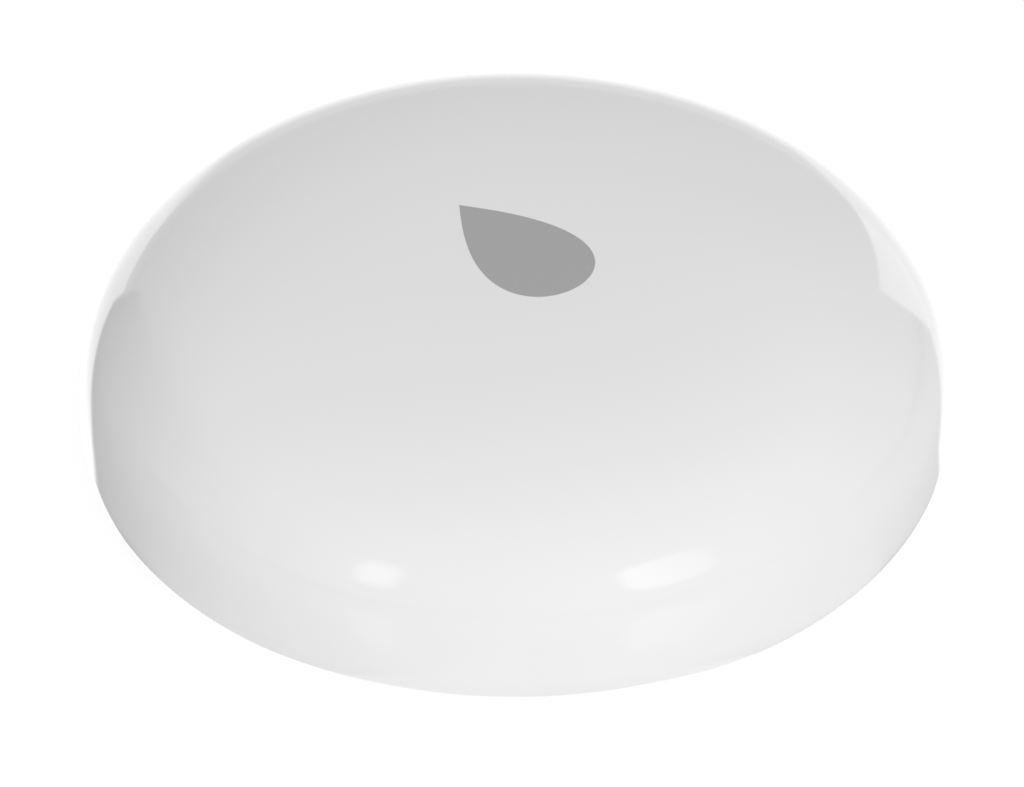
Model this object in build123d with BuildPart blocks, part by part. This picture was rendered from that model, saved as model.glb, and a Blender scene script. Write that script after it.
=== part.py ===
from build123d import *
import math
import os

os.makedirs("parts", exist_ok=True)

# Outer form: the cell and the probes beside it set the width, the stack above the cell the height
foot_height = 0.4
equator_height = 3.5
turn_in = 2.5
wall = 1.8
probe_ring = 5.5
stem_length = 3.0
crown_power = 2.85
crown_steps = 12
overrun = 1.0

# Seam, snap rim and gasket between the two shells
lip_flat = 0.3
ledge_height = 2.7
seam_gap = 0.1
seam_chamfer = 0.2
snap_gap = 0.05
bead_reach = 0.4
bead_height = 0.25
rim_width = 2.2
rim_height = 1.1
gasket_depth = 0.9
gasket_height = 0.9
gasket_play = 0.05
snap_slot_width = 1.2
snap_slots = 8

# Press area in the middle of the dome
membrane = 0.7
press_dia = 12.4
sleeve_wall = 1.2
sleeve_depth = 1.4
rib_width = 0.8
rib_depth = 1.0
dome_ribs = 6
dome_rib_share = 0.62

# Battery cell
battery_dia = 20.0
battery_height = 3.2
battery_edge = 0.35
battery_crimp = 0.3
battery_cap_inset = 1.2
battery_gap = 0.05

# Battery cover with its bayonet neck and lugs
cover_recess = 0.1
cover_thickness = 1.6
cover_chamfer = 0.25
cover_gap = 0.2
cover_fit = 0.15
neck_room = 0.2
neck_wall = 0.9
lug_reach = 1.0
lug_thickness = 0.75
lug_clearance = 0.1
lug_arc = 20.0
lug_arc_play = 1.0
lug_count = 3
lug_start = 90.0
unlock_turn = 30.0
shelf_width = 0.55
seat_gap = 0.1
ledge_thickness = 0.8
cover_seal_depth = 0.75
cover_seal_height = 0.9
cover_seal_run = 0.05
coin_slot_width = 1.8
coin_slot_length = 12.0
coin_slot_depth = 0.9

# Base plate and battery bay
plate_thickness = 1.5
bay_room = 0.3
bay_wall = 1.3
tube_wall = 1.4
stop_width = 1.0
stop_gap = 0.15
stop_thickness = 0.7
base_ribs = 6
base_rib_height = 1.2
base_rib_turn = 15.0

# Moulded feet
foot_dia = 2.4
foot_round = 0.12

# Circuit board and its screws
board_inset = 6.0
board_thickness = 1.0
board_gap = 1.0
board_screw_share = 0.87
screw_angles = (90.0, 210.0, 330.0)
screw_dia = 1.6
screw_hole_gap = 0.3
screw_bite = 4.0
screw_head_dia = 3.8
screw_head_height = 1.2
screw_head_round = 0.4
driver_width = 0.5
driver_length = 2.2
driver_depth = 0.6
boss_wall = 1.4

# Probes under the base
probe_dia = 2.0
probe_head_dia = 4.2
probe_stand_off = 0.2
probe_head_rise = 0.4
probe_head_edge = 0.2
probe_recess_play = 0.5
probe_recess_depth = 1.1
probe_hole_gap = 0.05
probe_boss_height = 1.5
probe_boss_wall = 1.6
probe_point = 0.3
probe_reach = 2.2
post_dia = 3.8
spigot_dia = 1.8
spigot_rise = 0.4
spigot_gap = 0.1

# Battery contacts
strip_thickness = 0.2
touch_gap = 0.02
clip_width = 4.0
clip_foot = 2.8
clip_slot_gap = 0.5
clip_drop = 2.5
clip_floor_gap = 0.1
clip_bend = 0.4
spring_pad_dia = 6.0
spring_width = 1.6
spring_fingers = 3
spring_bend = 0.5
spring_tip_rise = 0.35
spring_flat_share = 0.42
spring_low_share = 0.8
spring_tip_share = 0.93

# Push switch on the board
switch_side = 5.2
switch_height = 1.5
switch_frame_thickness = 0.15
switch_tab_width = 2.6
switch_tab_share = 0.6
switch_cavity_dia = 3.4
plunger_dia = 2.0
plunger_flange_dia = 3.0
plunger_flange = 0.35
plunger_rise = 0.35
plunger_gap = 0.08
terminal_width = 0.6
terminal_length = 0.8
terminal_height = 0.5
terminal_share = 0.35

# Button piston between the membrane and the switch
button_travel = 0.25
piston_fit = 0.1
piston_gap = 0.05
piston_thickness = 1.2
stem_dia = 3.6
gusset_count = 4
gusset_width = 0.8
gusset_drop = 1.3
gusset_share = 0.8

# Parts soldered to the top of the board, placed by shares of its radius
led_length = 1.6
led_width = 0.8
led_height = 0.6
led_place_share = (0.225, 0.0)
radio_side = 6.0
radio_height = 0.85
radio_place_share = (-0.47, 0.34)
memory_length = 4.9
memory_width = 3.9
memory_height = 1.4
memory_place_share = (-0.53, -0.16)
mark_dia = 0.6
mark_depth = 0.1
mark_inset = 0.8
chip_chamfer = 0.12
crystal_length = 3.2
crystal_width = 2.5
crystal_height = 0.7
crystal_place_share = (-0.17, 0.55)
bulk_length = 3.5
bulk_width = 2.8
bulk_height = 1.9
bulk_place_share = (0.45, -0.45)
antenna_length = 7.0
antenna_width = 2.0
antenna_height = 1.2
antenna_circle_share = 0.8
antenna_angle = 45.0
chip_length = 1.6
chip_width = 0.8
resistor_height = 0.45
capacitor_height = 0.8
chip_pitch_long = 2.6
chip_pitch_wide = 1.8
resistor_place_share = (0.45, 0.2)
resistor_columns = 3
resistor_rows = 2
capacitor_place_share = (-0.24, -0.5)
capacitor_columns = 3
capacitor_rows = 2
chip_round = 0.08

# Radii worked out from the cell outwards
battery_r = battery_dia / 2
battery_cap_r = battery_r - battery_cap_inset
neck_in_r = battery_r + neck_room
neck_r = neck_in_r + neck_wall
throat_r = neck_r + cover_fit
lug_r = neck_r + lug_reach
pocket_r = lug_r + cover_fit
flange_r = pocket_r + shelf_width
counterbore_r = flange_r + cover_gap
tube_r = counterbore_r + tube_wall
bay_r = battery_r + bay_room
upper_tube_r = bay_r + bay_wall
probe_x = tube_r + probe_ring / 2
rim_in_r = tube_r + probe_ring
rim_r = rim_in_r + rim_width
lip_r = rim_r + seam_gap
body_r = lip_r + lip_flat + turn_in
cavity_r = body_r - wall
gasket_r = lip_r - gasket_depth
board_r = body_r - board_inset
press_r = press_dia / 2
sleeve_r = press_r + sleeve_wall

# Heights worked out from the floor upwards
base_z = foot_height
plate_top_z = base_z + plate_thickness
gasket_z = (plate_top_z + base_z) / 2
bead_z = ledge_height + snap_gap
rim_top_z = ledge_height + rim_height
cover_z = base_z + cover_recess
cover_top_z = cover_z + cover_thickness
seat_z = cover_top_z + seat_gap
ledge_top_z = seat_z + ledge_thickness
lug_z = ledge_top_z + lug_clearance
neck_top_z = lug_z + lug_thickness
pocket_top_z = neck_top_z + lug_clearance
shoulder_z = pocket_top_z + ledge_thickness
battery_z = cover_top_z + battery_gap
battery_top_z = battery_z + battery_height
stop_z = battery_top_z + stop_gap
bay_top_z = stop_z + stop_thickness
board_z = bay_top_z + board_gap
board_top_z = board_z + board_thickness
recess_z = base_z + probe_recess_depth
probe_boss_z = plate_top_z + probe_boss_height
frame_z = board_top_z + switch_height
housing_top_z = frame_z - switch_frame_thickness
flange_top_z = housing_top_z - plunger_gap
flange_z = flange_top_z - plunger_flange
well_z = flange_z - button_travel - plunger_gap
plunger_top_z = frame_z + plunger_rise
piston_z = plunger_top_z + stem_length
piston_top_z = piston_z + piston_thickness
membrane_z = piston_top_z + piston_gap
sleeve_z = piston_z - sleeve_depth
body_height = membrane_z + membrane
ceiling_z = body_height - wall


def crown_points(rim, rise, end_r):
    """Give the crown line's points from the equator up to a radius."""
    end_angle = math.acos((end_r / rim) ** (crown_power / 2))
    points = []
    for step in range(crown_steps):
        angle = end_angle * step / crown_steps
        r = rim * math.cos(angle) ** (2 / crown_power)
        z = equator_height + rise * math.sin(angle) ** (2 / crown_power)
        points.append((r, z))
    points.append((end_r, equator_height + rise * math.sin(end_angle) ** (2 / crown_power)))
    return points


def radial_plane(angle):
    """Give the upright plane through the axis, its X pointing out at an angle."""
    turn = math.radians(angle)
    outward = (math.cos(turn), math.sin(turn), 0)
    across = (math.sin(turn), -math.cos(turn), 0)
    return Plane(origin=(0, 0, 0), x_dir=outward, z_dir=across)


def board_place(shares):
    """Give a place on the board from its shares of the board's radius."""
    return (shares[0] * board_r, shares[1] * board_r)


# Dome shell: crown, side and lip in one moulding, with a thin press area
outer_crown = crown_points(body_r, body_height - equator_height, 0)
inner_crown = crown_points(cavity_r, ceiling_z - equator_height, sleeve_r)
rib_length = cavity_r * dome_rib_share - press_r
with BuildPart() as dome_shell:
    with BuildSketch(Plane.XZ):
        with BuildLine():
            EllipticalCenterArc(
                (body_r - turn_in, equator_height),
                turn_in,
                equator_height - base_z,
                start_angle=-90,
                arc_size=90,
            )
            Spline(outer_crown, tangents=((0, 1), (-1, 0)))
            Polyline(
                (0, body_height),
                (0, membrane_z),
                (press_r, membrane_z),
                (press_r, sleeve_z),
                (sleeve_r, sleeve_z),
                inner_crown[-1],
            )
            Spline(inner_crown)
            Polyline(
                (cavity_r, equator_height),
                (cavity_r, ledge_height),
                (lip_r, ledge_height),
                (lip_r, base_z + seam_chamfer),
                (lip_r + seam_chamfer, base_z),
                (body_r - turn_in, base_z),
            )
        make_face()
    revolve(axis=Axis.Z)
    with BuildSketch(Plane.XY.offset(ceiling_z - rib_depth)):
        with PolarLocations(press_r + sleeve_wall / 2 + rib_length / 2, dome_ribs):
            Rectangle(rib_length, rib_width)
    extrude(amount=rib_depth + wall / 4)

dome_shell.part.label = "dome_shell"
export_step(dome_shell.part, "parts/dome_shell.step")

# Base shell: plate, gasket rim, snap bead, battery bay, bosses and feet
screw_circle = board_r * board_screw_share
boss_r = screw_dia / 2 + boss_wall
probe_boss_r = probe_dia / 2 + probe_boss_wall
clip_r = battery_r + touch_gap + strip_thickness / 2
clip_top_z = board_z - strip_thickness / 2
clip_slot_z = clip_top_z - clip_drop - clip_floor_gap
clip_slot_width = clip_width + 2 * clip_slot_gap
slot_length = upper_tube_r + overrun - neck_in_r + stop_width
lug_step = 360 / lug_count
with BuildPart() as base_shell:
    with BuildSketch(Plane.XZ):
        with BuildLine():
            Polyline(
                (counterbore_r, base_z),
                (rim_r - seam_chamfer, base_z),
                (rim_r, base_z + seam_chamfer),
                (rim_r, gasket_z - gasket_height / 2),
                (gasket_r, gasket_z - gasket_height / 2),
                (gasket_r, gasket_z + gasket_height / 2),
                (rim_r, gasket_z + gasket_height / 2),
                (rim_r, bead_z),
                (rim_r + bead_reach, bead_z),
                (rim_r + bead_reach, bead_z + bead_height),
                (rim_r, rim_top_z),
                (rim_in_r, rim_top_z),
                (rim_in_r, plate_top_z),
                (tube_r, plate_top_z),
                (tube_r, shoulder_z),
                (upper_tube_r, shoulder_z),
                (upper_tube_r, bay_top_z),
                (bay_r - stop_width, bay_top_z),
                (bay_r - stop_width, stop_z),
                (bay_r, stop_z),
                (bay_r, pocket_top_z),
                (throat_r, pocket_top_z),
                (throat_r, seat_z),
                (counterbore_r, seat_z),
                close=True,
            )
        make_face()
    revolve(axis=Axis.Z)
    # Slots that let the snap rim spring
    with BuildSketch(Plane.XY.offset(plate_top_z)):
        with PolarLocations(rim_r, snap_slots, start_angle=180 / snap_slots):
            Rectangle(2 * (rim_width + bead_reach), snap_slot_width)
    extrude(amount=rim_top_z, mode=Mode.SUBTRACT)
    # Stiffening ribs from the battery bay to the rim
    with BuildSketch(Plane.XY.offset(plate_top_z)):
        with PolarLocations((tube_r + rim_in_r) / 2, base_ribs, start_angle=base_rib_turn):
            Rectangle(rim_in_r - tube_r + wall / 2, rib_width)
    extrude(amount=base_rib_height)
    # Screw bosses and probe bosses
    with BuildSketch(Plane.XY.offset(base_z + plate_thickness / 2)):
        for angle in screw_angles:
            with PolarLocations(screw_circle, 1, start_angle=angle):
                Circle(boss_r)
    extrude(amount=board_z - base_z - plate_thickness / 2)
    with BuildSketch(Plane.XY.offset(base_z + plate_thickness / 2)):
        with Locations((probe_x, 0), (-probe_x, 0)):
            Circle(probe_boss_r)
    extrude(amount=probe_boss_z - base_z - plate_thickness / 2)
    # Battery bay opened again through the bosses and ribs
    with BuildSketch(Plane.XY.offset(base_z)):
        Circle(counterbore_r)
    extrude(amount=seat_z - base_z, mode=Mode.SUBTRACT)
    # Moulded feet
    with BuildSketch(Plane.XY.offset(base_z)):
        with PolarLocations(probe_x, 4, start_angle=45):
            Circle(foot_dia / 2)
    extrude(amount=-foot_height)
    fillet(base_shell.edges().filter_by(GeomType.CIRCLE).group_by(Axis.Z)[0], foot_round)
    # Pockets that the lugs turn in, and the notches that they enter by
    for number in range(lug_count):
        lug_angle = lug_start + number * lug_step
        pocket_arc = lug_arc + unlock_turn + 2 * lug_arc_play
        pocket_start = lug_angle - unlock_turn - lug_arc / 2 - lug_arc_play
        with BuildSketch(radial_plane(pocket_start)):
            with Locations((neck_r, ledge_top_z)):
                Rectangle(pocket_r - neck_r, pocket_top_z - ledge_top_z, align=(Align.MIN, Align.MIN))
        revolve(axis=Axis.Z, revolution_arc=pocket_arc, mode=Mode.SUBTRACT)
        with BuildSketch(radial_plane(pocket_start)):
            with Locations((neck_r, seat_z - seat_gap)):
                Rectangle(
                    pocket_r - neck_r,
                    ledge_top_z - seat_z + 2 * seat_gap,
                    align=(Align.MIN, Align.MIN),
                )
        revolve(axis=Axis.Z, revolution_arc=lug_arc + 2 * lug_arc_play, mode=Mode.SUBTRACT)
    # Slots in the bay wall for the two contact clips
    with BuildSketch(Plane.XY.offset(clip_slot_z)):
        with PolarLocations(neck_in_r - stop_width + slot_length / 2, 2, start_angle=90):
            Rectangle(slot_length, clip_slot_width)
    extrude(amount=bay_top_z - clip_slot_z + overrun, mode=Mode.SUBTRACT)
    # Pilot holes for the board screws
    with BuildSketch(Plane.XY.offset(board_z - screw_bite)):
        for angle in screw_angles:
            with PolarLocations(screw_circle, 1, start_angle=angle):
                Circle(screw_dia / 2)
    extrude(amount=screw_bite + overrun, mode=Mode.SUBTRACT)
    # Recesses and holes for the probes
    with BuildSketch(Plane.XY.offset(recess_z)):
        with Locations((probe_x, 0), (-probe_x, 0)):
            Circle(probe_head_dia / 2 + probe_recess_play)
    extrude(amount=-(probe_recess_depth + foot_height), mode=Mode.SUBTRACT)
    with BuildSketch(Plane.XY.offset(base_z)):
        with Locations((probe_x, 0), (-probe_x, 0)):
            Circle(probe_dia / 2 + probe_hole_gap)
    extrude(amount=probe_boss_z, mode=Mode.SUBTRACT)

base_shell.part.label = "base_shell"
export_step(base_shell.part, "parts/base_shell.step")

# Shell gasket: rubber ring squeezed between the base's groove and the dome's lip
with BuildPart() as shell_gasket:
    with BuildSketch(Plane.XZ) as shell_gasket_section:
        with Locations(((gasket_r + lip_r) / 2, gasket_z)):
            Rectangle(gasket_depth, gasket_height - 2 * gasket_play)
        chamfer(shell_gasket_section.vertices(), gasket_height / 4)
    revolve(axis=Axis.Z)

shell_gasket.part.label = "shell_gasket"
export_step(shell_gasket.part, "parts/shell_gasket.step")

# Battery cover: disc with a coin slot, a neck round the cell and three lugs
cover_groove_r = flange_r - cover_seal_depth
cover_groove_z = (cover_z + cover_top_z) / 2
with BuildPart() as battery_cover:
    with BuildSketch(Plane.XZ):
        with BuildLine():
            Polyline(
                (0, cover_z),
                (flange_r - cover_chamfer, cover_z),
                (flange_r, cover_z + cover_chamfer),
                (flange_r, cover_groove_z - cover_seal_height / 2),
                (cover_groove_r, cover_groove_z - cover_seal_height / 2),
                (cover_groove_r, cover_groove_z + cover_seal_height / 2),
                (flange_r, cover_groove_z + cover_seal_height / 2),
                (flange_r, cover_top_z),
                (neck_r, cover_top_z),
                (neck_r, neck_top_z),
                (neck_in_r, neck_top_z),
                (neck_in_r, cover_top_z),
                (0, cover_top_z),
                close=True,
            )
        make_face()
    revolve(axis=Axis.Z)
    for number in range(lug_count):
        with BuildSketch(radial_plane(lug_start + number * lug_step - lug_arc / 2)):
            with Locations((neck_r - neck_wall / 2, lug_z)):
                Rectangle(lug_r - neck_r + neck_wall / 2, lug_thickness, align=(Align.MIN, Align.MIN))
        revolve(axis=Axis.Z, revolution_arc=lug_arc)
    with BuildSketch(Plane.XY.offset(cover_z)):
        SlotOverall(coin_slot_length, coin_slot_width)
    extrude(amount=coin_slot_depth, mode=Mode.SUBTRACT)

battery_cover.part.label = "battery_cover"
export_step(battery_cover.part, "parts/battery_cover.step")

# Cover seal: rubber ring in the cover's groove, running in the counterbore
cover_seal_width = counterbore_r - cover_groove_r - cover_seal_run
with BuildPart() as cover_seal:
    with BuildSketch(Plane.XZ) as cover_seal_section:
        with Locations((cover_groove_r + cover_seal_width / 2, cover_groove_z)):
            Rectangle(cover_seal_width, cover_seal_height - 2 * gasket_play)
        chamfer(cover_seal_section.vertices(), cover_seal_height / 4)
    revolve(axis=Axis.Z)

cover_seal.part.label = "cover_seal"
export_step(cover_seal.part, "parts/cover_seal.step")

# Battery: coin cell, its can at the sides and below, its smaller cap above
battery_shoulder_z = battery_top_z - battery_crimp
with BuildPart() as battery:
    with BuildSketch(Plane.XZ):
        with BuildLine():
            Polyline(
                (0, battery_z),
                (battery_r - battery_edge, battery_z),
                (battery_r, battery_z + battery_edge),
                (battery_r, battery_shoulder_z - battery_edge),
                (battery_r - battery_edge, battery_shoulder_z),
                (battery_cap_r, battery_shoulder_z),
                (battery_cap_r, battery_top_z),
                (0, battery_top_z),
                close=True,
            )
        make_face()
    revolve(axis=Axis.Z)

battery.part.label = "battery"
export_step(battery.part, "parts/battery.step")

# Positive clips: two bent strips from the board down to the side of the can
with BuildPart() as positive_clips:
    for angle in (90, 270):
        with BuildSketch(radial_plane(angle)):
            with BuildLine():
                FilletPolyline(
                    (clip_r, clip_top_z - clip_drop),
                    (clip_r, clip_top_z),
                    (clip_r + clip_foot, clip_top_z),
                    radius=clip_bend,
                )
            trace(line_width=strip_thickness)
        extrude(amount=clip_width / 2, both=True)

positive_clips.part.label = "positive_clips"
export_step(positive_clips.part, "parts/positive_clips.step")

# Negative spring: pad under the board with three fingers on the cell's cap
finger_low_z = battery_top_z + touch_gap + strip_thickness / 2
with BuildPart() as negative_spring:
    with BuildSketch(Plane.XY.offset(board_z - strip_thickness)):
        Circle(spring_pad_dia / 2)
    extrude(amount=strip_thickness)
    for number in range(spring_fingers):
        with BuildSketch(radial_plane(number * 360 / spring_fingers + 30)):
            with BuildLine():
                FilletPolyline(
                    (spring_pad_dia / 4, clip_top_z),
                    (battery_cap_r * spring_flat_share, clip_top_z),
                    (battery_cap_r * spring_low_share, finger_low_z),
                    (battery_cap_r * spring_tip_share, finger_low_z + spring_tip_rise),
                    radius=spring_bend,
                )
            trace(line_width=strip_thickness)
        extrude(amount=spring_width / 2, both=True)

negative_spring.part.label = "negative_spring"
export_step(negative_spring.part, "parts/negative_spring.step")

# Circuit board: round, with holes for its screws and the probe posts
with BuildPart() as circuit_board:
    with BuildSketch(Plane.XY.offset(board_z)):
        Circle(board_r)
        for angle in screw_angles:
            with PolarLocations(screw_circle, 1, start_angle=angle):
                Circle(screw_dia / 2 + screw_hole_gap, mode=Mode.SUBTRACT)
        with Locations((probe_x, 0), (-probe_x, 0)):
            Circle(spigot_dia / 2 + spigot_gap, mode=Mode.SUBTRACT)
    extrude(amount=board_thickness)

circuit_board.part.label = "circuit_board"
export_step(circuit_board.part, "parts/circuit_board.step")

# Board screws: pan heads on the board, their shanks in the bosses
with BuildPart() as board_screws:
    for angle in screw_angles:
        with BuildSketch(Plane.XY.offset(board_z - screw_bite)):
            with PolarLocations(screw_circle, 1, start_angle=angle):
                Circle(screw_dia / 2)
        extrude(amount=screw_bite + board_thickness)
        with BuildSketch(Plane.XY.offset(board_top_z)):
            with PolarLocations(screw_circle, 1, start_angle=angle):
                Circle(screw_head_dia / 2)
        extrude(amount=screw_head_height)
    chamfer(board_screws.edges().filter_by(GeomType.CIRCLE).group_by(Axis.Z)[-1], screw_head_round)
    with BuildSketch(Plane.XY.offset(board_top_z + screw_head_height - driver_depth)):
        for angle in screw_angles:
            with PolarLocations(screw_circle, 1, start_angle=angle):
                Rectangle(driver_length, driver_width)
                Rectangle(driver_width, driver_length)
    extrude(amount=driver_depth + overrun, mode=Mode.SUBTRACT)

board_screws.part.label = "board_screws"
export_step(board_screws.part, "parts/board_screws.step")


def build_probe(x):
    """Make a probe: a stud with a domed head just above the floor."""
    tip_z = probe_stand_off
    rim_z = tip_z + probe_head_rise
    head_top_z = rim_z + probe_head_edge
    end_z = probe_boss_z + probe_reach
    with BuildPart() as probe:
        with BuildSketch(Plane.XZ):
            with BuildLine():
                ThreePointArc(
                    (0, tip_z),
                    (probe_head_dia / 4, tip_z + probe_head_rise / 4),
                    (probe_head_dia / 2, rim_z),
                )
                Polyline(
                    (probe_head_dia / 2, rim_z),
                    (probe_head_dia / 2, head_top_z),
                    (probe_dia / 2, head_top_z),
                    (probe_dia / 2, end_z - probe_point),
                    (probe_dia / 2 - probe_point, end_z),
                    (0, end_z),
                    (0, tip_z),
                )
            make_face()
        revolve(axis=Axis.Z)
    return probe.part.moved(Location((x, 0, 0)))


# Left probe
probe_left = build_probe(-probe_x)
probe_left.label = "probe_left"
export_step(probe_left, "parts/probe_left.step")

# Right probe
probe_right = build_probe(probe_x)
probe_right.label = "probe_right"
export_step(probe_right, "parts/probe_right.step")

# Probe seals: rubber rings under the probe heads
seal_z = probe_stand_off + probe_head_rise + probe_head_edge
with BuildPart() as probe_seals:
    with BuildSketch(Plane.XY.offset(seal_z)):
        with Locations((probe_x, 0), (-probe_x, 0)):
            Circle(probe_head_dia / 2)
            Circle(probe_dia / 2 + touch_gap, mode=Mode.SUBTRACT)
    extrude(amount=recess_z - seal_z)
    outer_edges = probe_seals.edges().filter_by(GeomType.CIRCLE).group_by(SortBy.RADIUS)[-1]
    chamfer(outer_edges, (recess_z - seal_z) / 4)

probe_seals.part.label = "probe_seals"
export_step(probe_seals.part, "parts/probe_seals.step")

# Probe posts: turned brass posts from the base to the board, tapped for the probes
with BuildPart() as probe_posts:
    with BuildSketch(Plane.XY.offset(probe_boss_z)):
        with Locations((probe_x, 0), (-probe_x, 0)):
            Circle(post_dia / 2)
    extrude(amount=board_z - probe_boss_z)
    with BuildSketch(Plane.XY.offset(board_z)):
        with Locations((probe_x, 0), (-probe_x, 0)):
            Circle(spigot_dia / 2)
    extrude(amount=board_thickness + spigot_rise)
    with BuildSketch(Plane.XY.offset(probe_boss_z)):
        with Locations((probe_x, 0), (-probe_x, 0)):
            Circle(probe_dia / 2)
    extrude(amount=probe_reach + probe_point, mode=Mode.SUBTRACT)

probe_posts.part.label = "probe_posts"
export_step(probe_posts.part, "parts/probe_posts.step")

# Tact switch: square housing with a round well for the plunger
with BuildPart() as tact_switch:
    with BuildSketch(Plane.XY.offset(board_top_z)):
        Rectangle(switch_side, switch_side)
    extrude(amount=housing_top_z - board_top_z)
    with BuildSketch(Plane.XY.offset(well_z)):
        Circle(switch_cavity_dia / 2)
    extrude(amount=switch_height, mode=Mode.SUBTRACT)

tact_switch.part.label = "tact_switch"
export_step(tact_switch.part, "parts/tact_switch.step")

# Switch frame: sheet metal cover over the housing, with two side tabs
frame_hole_r = plunger_dia / 2 + plunger_gap
tab_x = switch_side / 2 + switch_frame_thickness / 2
tab_drop = (housing_top_z - board_top_z) * switch_tab_share
with BuildPart() as switch_frame:
    with BuildSketch(Plane.XY.offset(housing_top_z)):
        Rectangle(switch_side, switch_side)
        Rectangle(switch_side + 2 * switch_frame_thickness, switch_tab_width)
        Circle(frame_hole_r, mode=Mode.SUBTRACT)
    extrude(amount=switch_frame_thickness)
    with BuildSketch(Plane.XY.offset(housing_top_z)):
        with Locations((tab_x, 0), (-tab_x, 0)):
            Rectangle(switch_frame_thickness, switch_tab_width)
    extrude(amount=-tab_drop)

switch_frame.part.label = "switch_frame"
export_step(switch_frame.part, "parts/switch_frame.step")

# Switch terminals: four soldered feet
terminal_y = switch_side / 2 + terminal_length / 2
with BuildPart() as switch_terminals:
    with BuildSketch(Plane.XY.offset(board_top_z)):
        for side_x in (-1, 1):
            for side_y in (-1, 1):
                with Locations((side_x * switch_side * terminal_share, side_y * terminal_y)):
                    Rectangle(terminal_width, terminal_length)
    extrude(amount=terminal_height)
    top_edges = switch_terminals.edges().group_by(Axis.Z)[-1].filter_by(Axis.X)
    chamfer(top_edges, terminal_height / 4)

switch_terminals.part.label = "switch_terminals"
export_step(switch_terminals.part, "parts/switch_terminals.step")

# Switch plunger: round actuator trapped under the frame
with BuildPart() as switch_plunger:
    with BuildSketch(Plane.XY.offset(flange_z)):
        Circle(plunger_flange_dia / 2)
    extrude(amount=plunger_flange)
    with BuildSketch(Plane.XY.offset(flange_top_z)):
        Circle(plunger_dia / 2)
    extrude(amount=plunger_top_z - flange_top_z)

switch_plunger.part.label = "switch_plunger"
export_step(switch_plunger.part, "parts/switch_plunger.step")

# Button piston: disc under the press area, its ribbed stem on the plunger
piston_r = press_r - piston_fit
with BuildPart() as button_piston:
    with BuildSketch(Plane.XY.offset(piston_z)):
        Circle(piston_r)
    extrude(amount=piston_thickness)
    with BuildSketch(Plane.XY.offset(plunger_top_z)):
        Circle(stem_dia / 2)
    extrude(amount=piston_z - plunger_top_z)
    for number in range(gusset_count):
        with BuildSketch(radial_plane(45 + number * 360 / gusset_count)):
            with BuildLine():
                Polyline(
                    (0, piston_z),
                    (piston_r * gusset_share, piston_z),
                    (stem_dia / 2, piston_z - gusset_drop),
                    (0, piston_z - gusset_drop),
                    close=True,
                )
            make_face()
        extrude(amount=gusset_width / 2, both=True)

button_piston.part.label = "button_piston"
export_step(button_piston.part, "parts/button_piston.step")

# Status light beside the switch, under the translucent piston
with BuildPart() as status_led:
    with BuildSketch(Plane.XY.offset(board_top_z)):
        with Locations(board_place(led_place_share)):
            Rectangle(led_width, led_length)
    extrude(amount=led_height)
    fillet(status_led.edges().group_by(Axis.Z)[-1], led_height / 4)

status_led.part.label = "status_led"
export_step(status_led.part, "parts/status_led.step")

# Radio chip: square package with a dot at its first pin
radio_place = board_place(radio_place_share)
radio_mark = radio_side / 2 - mark_inset
with BuildPart() as radio_chip:
    with BuildSketch(Plane.XY.offset(board_top_z)):
        with Locations(radio_place):
            Rectangle(radio_side, radio_side)
    extrude(amount=radio_height)
    chamfer(radio_chip.edges().group_by(Axis.Z)[-1], chip_chamfer)
    with BuildSketch(Plane.XY.offset(board_top_z + radio_height)):
        with Locations((radio_place[0] - radio_mark, radio_place[1] + radio_mark)):
            Circle(mark_dia / 2)
    extrude(amount=-mark_depth, mode=Mode.SUBTRACT)

radio_chip.part.label = "radio_chip"
export_step(radio_chip.part, "parts/radio_chip.step")

# Memory chip: oblong package with a dot at its first pin
memory_place = board_place(memory_place_share)
with BuildPart() as memory_chip:
    with BuildSketch(Plane.XY.offset(board_top_z)):
        with Locations(memory_place):
            Rectangle(memory_length, memory_width)
    extrude(amount=memory_height)
    chamfer(memory_chip.edges().group_by(Axis.Z)[-1], chip_chamfer)
    with BuildSketch(Plane.XY.offset(board_top_z + memory_height)):
        with Locations(
            (
                memory_place[0] - memory_length / 2 + mark_inset,
                memory_place[1] + memory_width / 2 - mark_inset,
            )
        ):
            Circle(mark_dia / 2)
    extrude(amount=-mark_depth, mode=Mode.SUBTRACT)

memory_chip.part.label = "memory_chip"
export_step(memory_chip.part, "parts/memory_chip.step")

# Crystal in its metal can
with BuildPart() as crystal_can:
    with BuildSketch(Plane.XY.offset(board_top_z)):
        with Locations(board_place(crystal_place_share)):
            RectangleRounded(crystal_length, crystal_width, crystal_width / 6)
    extrude(amount=crystal_height)
    chamfer(crystal_can.edges().group_by(Axis.Z)[-1], crystal_height / 6)

crystal_can.part.label = "crystal_can"
export_step(crystal_can.part, "parts/crystal_can.step")

# Bulk capacitor that carries the radio's bursts
with BuildPart() as bulk_capacitor:
    with BuildSketch(Plane.XY.offset(board_top_z)):
        with Locations(board_place(bulk_place_share)):
            Rectangle(bulk_length, bulk_width)
    extrude(amount=bulk_height)
    chamfer(bulk_capacitor.edges().group_by(Axis.Z)[-1], chip_chamfer)

bulk_capacitor.part.label = "bulk_capacitor"
export_step(bulk_capacitor.part, "parts/bulk_capacitor.step")

# Ceramic antenna at the edge of the board
with BuildPart() as chip_antenna:
    with BuildSketch(Plane.XY.offset(board_top_z)):
        with PolarLocations(board_r * antenna_circle_share, 1, start_angle=antenna_angle):
            Rectangle(antenna_width, antenna_length)
    extrude(amount=antenna_height)
    chamfer(chip_antenna.edges().group_by(Axis.Z)[-1], chip_chamfer)

chip_antenna.part.label = "chip_antenna"
export_step(chip_antenna.part, "parts/chip_antenna.step")

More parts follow.
